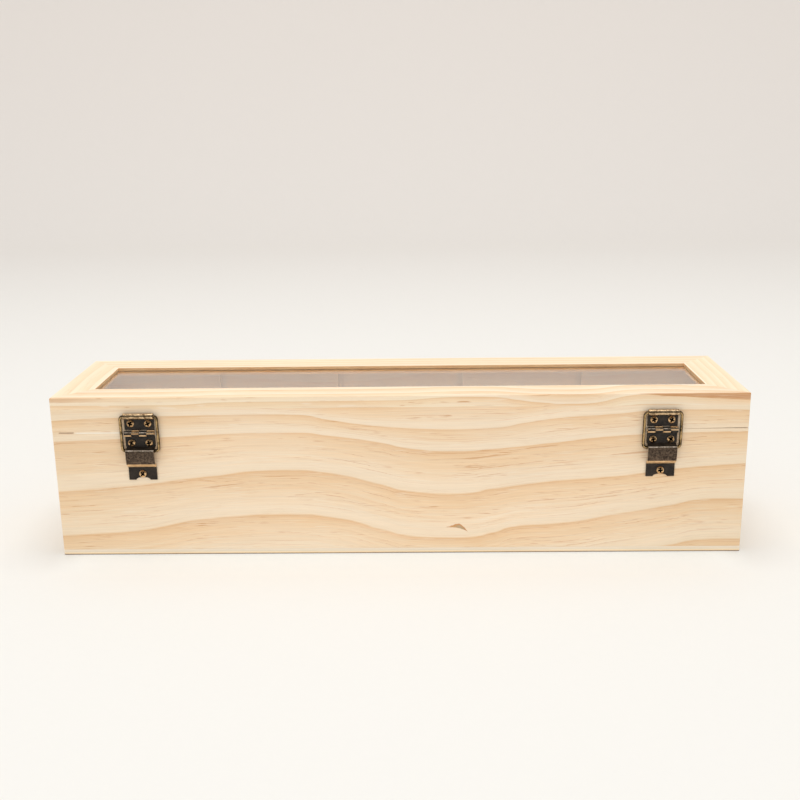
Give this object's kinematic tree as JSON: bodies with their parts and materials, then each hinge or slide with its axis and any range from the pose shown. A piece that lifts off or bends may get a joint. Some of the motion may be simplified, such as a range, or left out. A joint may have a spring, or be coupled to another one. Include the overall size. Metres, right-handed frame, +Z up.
{
  "type": "tabletop display case",
  "caption": "Long pine tabletop display case with compartments and a glazed, hinged lid held open by stay-ring hinges.",
  "frame": {"origin": "centre of the underside of the bottom panel", "axes": "+X along the length, -Y out of the hinged back, +Z up"},
  "size_m": [0.35, 0.0868, 0.0845],
  "materials": {
    "pine": "sanded, unfinished pine with flowing growth rings",
    "plywood": "thin plywood, faces sanded, layered edges left raw",
    "glass": "clear float glass",
    "bronze": "antique bronze plating, near black on the flats and rubbed to brass on the edges",
    "screw_brass": "antique bronze plating rubbed to brass on the head's rim, dark in the cross"
  },
  "bodies": {
    "case": {"bottom_panel": "plywood", "divider_1": "plywood", "divider_2": "plywood", "divider_3": "plywood", "divider_4": "plywood", "hinge_left_case_leaf": "bronze", "hinge_left_case_screw_3": "screw_brass", "hinge_left_case_screw_4": "screw_brass", "hinge_left_case_screw_5": "screw_brass", "hinge_left_pin": "bronze", "hinge_right_case_leaf": "bronze", "hinge_right_case_screw_3": "screw_brass", "hinge_right_case_screw_4": "screw_brass", "hinge_right_case_screw_5": "screw_brass", "hinge_right_pin": "bronze", "wall_back": "pine", "wall_front": "pine", "wall_left": "pine", "wall_right": "pine"},
    "lid": {"frame_rail_back": "pine", "frame_rail_front": "pine", "frame_rail_left": "pine", "frame_rail_right": "pine", "glass_pane": "glass", "hinge_left_lid_leaf": "bronze", "hinge_left_lid_screw_1": "screw_brass", "hinge_left_lid_screw_2": "screw_brass", "hinge_right_lid_leaf": "bronze", "hinge_right_lid_screw_1": "screw_brass", "hinge_right_lid_screw_2": "screw_brass", "lid_side_back": "pine", "lid_side_front": "pine", "lid_side_left": "pine", "lid_side_right": "pine"},
    "ring_left": {"hinge_left_stay_ring": "bronze"},
    "ring_right": {"hinge_right_stay_ring": "bronze"}
  },
  "joints": [
    {"name": "lid_hinge", "type": "hinge", "parent": "case", "child": "lid", "pos_m": [0, -0.0427, 0.0662], "axis": [1, 0, 0], "range_deg": [0, 90]},
    {"name": "ring_left_swing", "type": "hinge", "parent": "lid", "child": "ring_left", "pos_m": [-0.1304, -0.0429, 0.0753], "axis": [1, 0, 0], "range_deg": [-62, 0]},
    {"name": "ring_right_swing", "type": "hinge", "parent": "lid", "child": "ring_right", "pos_m": [0.1318, -0.0429, 0.0753], "axis": [1, 0, 0], "range_deg": [-62, 0]}
  ],
  "couplings": [
    {"joint": "ring_left_swing", "follows": "lid_hinge", "ratio": -0.675},
    {"joint": "ring_right_swing", "follows": "lid_hinge", "ratio": -0.675}
  ]
}
